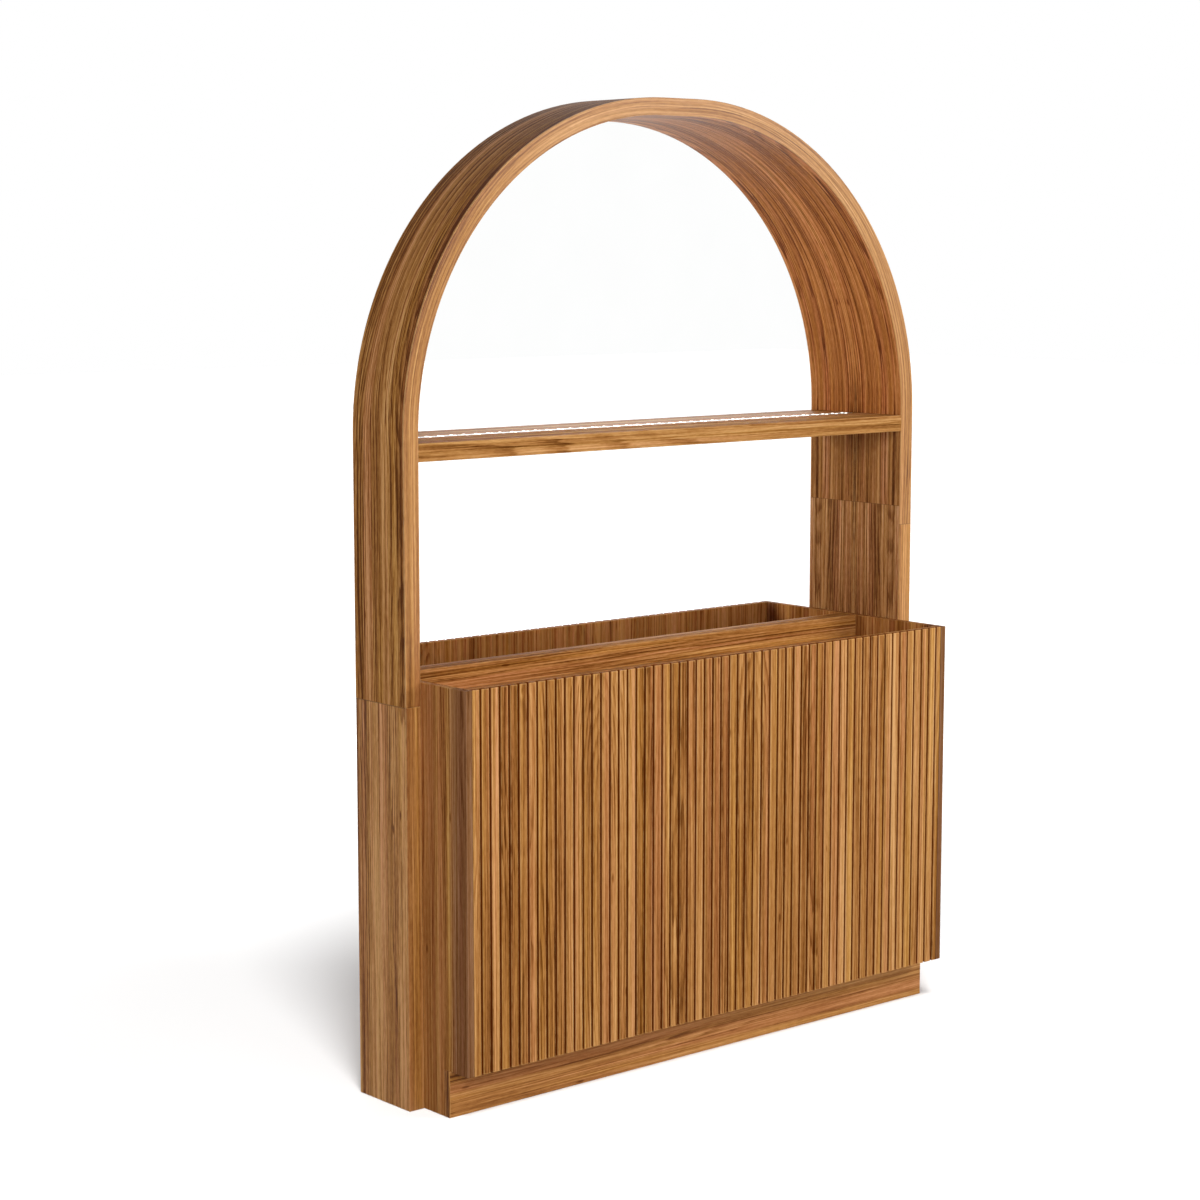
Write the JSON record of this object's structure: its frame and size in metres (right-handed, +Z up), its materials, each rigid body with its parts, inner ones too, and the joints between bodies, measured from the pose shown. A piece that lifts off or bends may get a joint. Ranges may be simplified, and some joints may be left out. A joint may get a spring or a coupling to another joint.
{
  "type": "back bar",
  "caption": "Free-standing back bar: arched, mirror-backed upper unit with a lit display shelf, on a box base with fluted front, recessed plinth and bottle trough behind a raised rim.",
  "frame": {"origin": "on the floor, in the middle of the overall width and depth", "axes": "+Z up, front towards -Y, +X to the right seen from the front"},
  "size_m": [1.524, 0.3302, 2.1336],
  "materials": {
    "veneer": "satin lacquered warm brown veneer",
    "carcase": "plain sealed plywood",
    "back": "matt stained board",
    "silvered": "polished silvered glass",
    "aluminium": "anodised",
    "led": "white, lit",
    "zinc": "zinc plated",
    "beech": "bare beech",
    "black": "moulded black"
  },
  "bodies": {
    "base": {"left_lower_leg": "veneer", "right_lower_leg": "veneer", "left_leg_edging": "veneer", "right_leg_edging": "veneer", "left_end_panel": "veneer", "right_end_panel": "veneer", "fluted_front": "veneer", "plinth_board": "veneer", "rear_plinth": "carcase", "base_deck": "carcase", "worktop": "veneer", "rear_rail": "veneer", "front_stretcher": "carcase", "centre_divider": "carcase", "left_worktop_cleat": "carcase", "right_worktop_cleat": "carcase", "left_deck_cleat": "carcase", "right_deck_cleat": "carcase", "base_back": "back", "led_driver": "black", "cable_grommet": "black", "left_leg_bolt_1": "zinc", "left_leg_bolt_2": "zinc", "left_leg_bolt_3": "zinc", "left_leg_bolt_4": "zinc", "right_leg_bolt_1": "zinc", "right_leg_bolt_2": "zinc", "right_leg_bolt_3": "zinc", "right_leg_bolt_4": "zinc", "left_front_dowel": "beech", "left_rear_dowel": "beech", "right_front_dowel": "beech", "right_rear_dowel": "beech"},
    "upper_unit": {"arch_outer_lamination": "veneer", "arch_inner_lamination": "veneer", "arch_front_edging": "veneer", "back_board": "back", "mirror": "silvered", "mirror_ledge": "carcase", "display_shelf": "veneer", "led_channel": "aluminium", "led_tape": "led"}
  },
  "joints": [
    {"name": "arch_lift", "type": "slide", "parent": "base", "child": "upper_unit", "axis": [0, 0, 1], "range_m": [0, 0.06]}
  ]
}
